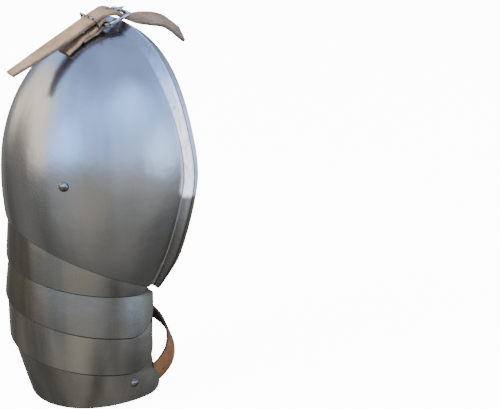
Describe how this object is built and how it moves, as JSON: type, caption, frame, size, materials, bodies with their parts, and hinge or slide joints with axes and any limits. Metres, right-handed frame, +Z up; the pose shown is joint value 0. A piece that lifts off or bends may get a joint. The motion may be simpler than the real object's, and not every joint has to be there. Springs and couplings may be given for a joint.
{
  "type": "pauldron",
  "caption": "Plate shoulder guard: a domed steel plate with a turned neck border, nested lames below it, an arm strap, and a buckled leather strap at the crown.",
  "frame": {"origin": "underside of the dome's crown, where it sits on the shoulder", "axes": "+Z up as worn, -X out from the shoulder, +X to the neck, -Y to the front"},
  "size_m": [0.1569, 0.2125, 0.3356],
  "materials": {
    "plate_steel": "satin polished sheet steel",
    "rivet_steel": "bright domed steel",
    "tan_leather": "smooth tan leather, dark flesh side",
    "pale_leather": "matt undyed leather",
    "nickel": "nickel plate"
  },
  "bodies": {
    "root": {"shoulder_dome": "plate_steel", "lame_1": "plate_steel", "lame_2": "plate_steel", "lame_3": "plate_steel", "lame_4": "plate_steel", "lame_leather": "tan_leather", "dome_rivet": "rivet_steel", "arm_strap": "tan_leather", "arm_strap_rivet_front": "rivet_steel", "arm_strap_rivet_back": "rivet_steel", "shoulder_strap": "pale_leather", "buckle_chape": "pale_leather", "chape_rivet": "rivet_steel", "buckle_frame": "nickel", "buckle_tongue": "nickel", "strap_keeper": "nickel"}
  },
  "joints": []
}
